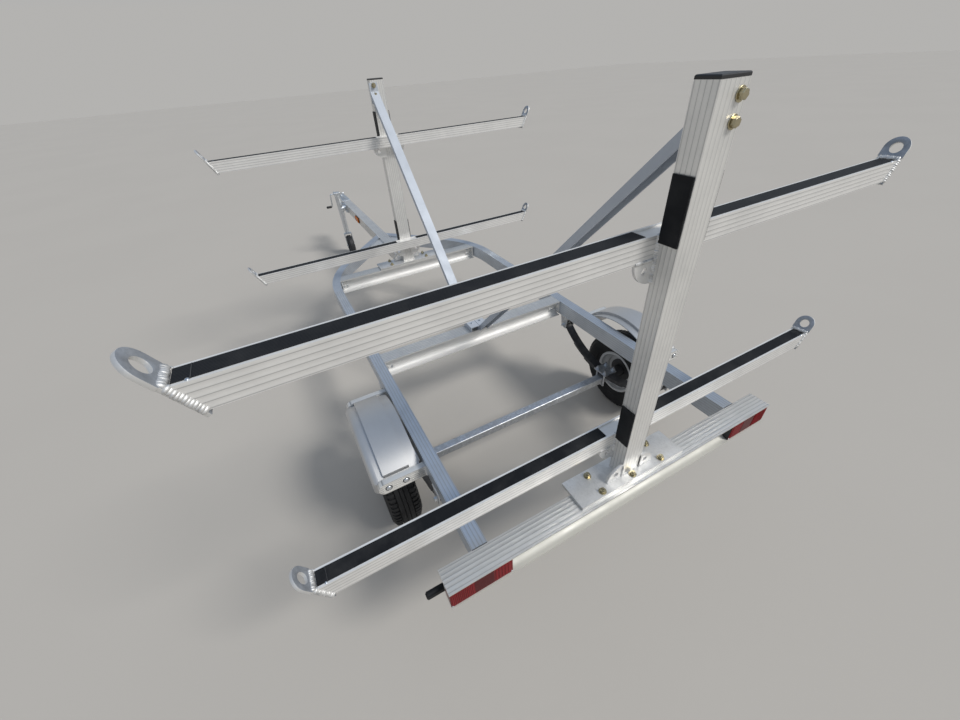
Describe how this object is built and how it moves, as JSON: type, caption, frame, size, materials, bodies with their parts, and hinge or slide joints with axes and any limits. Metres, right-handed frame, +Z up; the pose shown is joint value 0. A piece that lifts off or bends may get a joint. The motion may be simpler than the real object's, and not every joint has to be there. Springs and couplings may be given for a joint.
{
  "type": "boat rack trailer",
  "caption": "Aluminium trailer with two T masts whose padded cross arms carry light boats, sprung axle, fenders and folding jack",
  "frame": {"origin": "middle of the overall box, on the ground under the parked trailer", "axes": "+X forward to the coupler, +Y to the trailer's left, +Z up"},
  "size_m": [4.42, 1.9544, 1.569],
  "materials": {
    "aluminium": "ribbed mill finish",
    "pad_rubber": "matt",
    "black_plastic": "satin",
    "galvanised": "galvanised",
    "spring_black": "semi gloss black",
    "fender_plastic": "silver grey moulded",
    "red_lens": "glossy red lens",
    "amber_lens": "glossy amber lens",
    "zinc": "zinc plated",
    "jack_tyre": "black moulded",
    "hub_black": "black painted",
    "rim_paint": "silver painted",
    "tyre": "moulded rubber"
  },
  "bodies": {
    "frame": {"rail_left": "aluminium", "rail_right": "aluminium", "crossmember_rear": "aluminium", "crossmember_middle": "aluminium", "crossmember_front": "aluminium", "tongue": "aluminium", "tongue_gussets": "aluminium", "base_plate_rear": "aluminium", "base_plate_front": "aluminium", "mast_rear": "aluminium", "mast_front": "aluminium", "mast_caps": "black_plastic", "arm_rear_upper": "aluminium", "arm_rear_lower": "aluminium", "arm_front_upper": "aluminium", "arm_front_lower": "aluminium", "arm_eyes": "aluminium", "arm_pads": "pad_rubber", "mast_pads": "pad_rubber", "brace_rear": "aluminium", "brace_front": "aluminium", "axle": "galvanised", "spring_left": "spring_black", "spring_right": "spring_black", "spring_hangers": "galvanised", "spring_clamps": "galvanised", "fender_left": "fender_plastic", "fender_right": "fender_plastic", "fender_brackets": "aluminium", "tail_lamps": "red_lens", "end_stub": "black_plastic", "side_markers": "amber_lens", "coupler": "zinc", "coupler_head": "zinc", "coupler_latch": "zinc", "jack_bracket": "zinc"},
    "wheel_left": {"hub_left": "hub_black", "rim_left": "rim_paint", "tyre_left": "tyre"},
    "wheel_right": {"hub_right": "hub_black", "rim_right": "rim_paint", "tyre_right": "tyre"},
    "jack": {"jack_tube": "zinc", "jack_crank": "zinc"},
    "jack_slider": {"jack_leg": "zinc"},
    "jack_caster": {"jack_fork": "zinc"},
    "jack_roller": {"jack_wheel": "jack_tyre"}
  },
  "joints": [
    {"name": "wheel_left_spin", "type": "hinge", "parent": "frame", "child": "wheel_left", "pos_m": [-1.515, 0.663, 0.215], "axis": [0, 1, 0], "continuous": true},
    {"name": "wheel_right_spin", "type": "hinge", "parent": "frame", "child": "wheel_right", "pos_m": [-1.515, -0.663, 0.215], "axis": [0, 1, 0], "continuous": true},
    {"name": "jack_swing", "type": "hinge", "parent": "frame", "child": "jack", "pos_m": [1.762, 0.062, 0.472], "axis": [0, 1, 0], "range_deg": [0, 90]},
    {"name": "jack_slide", "type": "slide", "parent": "jack", "child": "jack_slider", "axis": [0, 0, 1], "range_m": [0, 0.165]},
    {"name": "jack_caster_turn", "type": "hinge", "parent": "jack_slider", "child": "jack_caster", "pos_m": [1.762, 0.098, 0.24], "axis": [0, 0, 1], "continuous": true},
    {"name": "jack_wheel_spin", "type": "hinge", "parent": "jack_caster", "child": "jack_roller", "pos_m": [1.722, 0.098, 0.1], "axis": [0, 1, 0], "continuous": true}
  ]
}
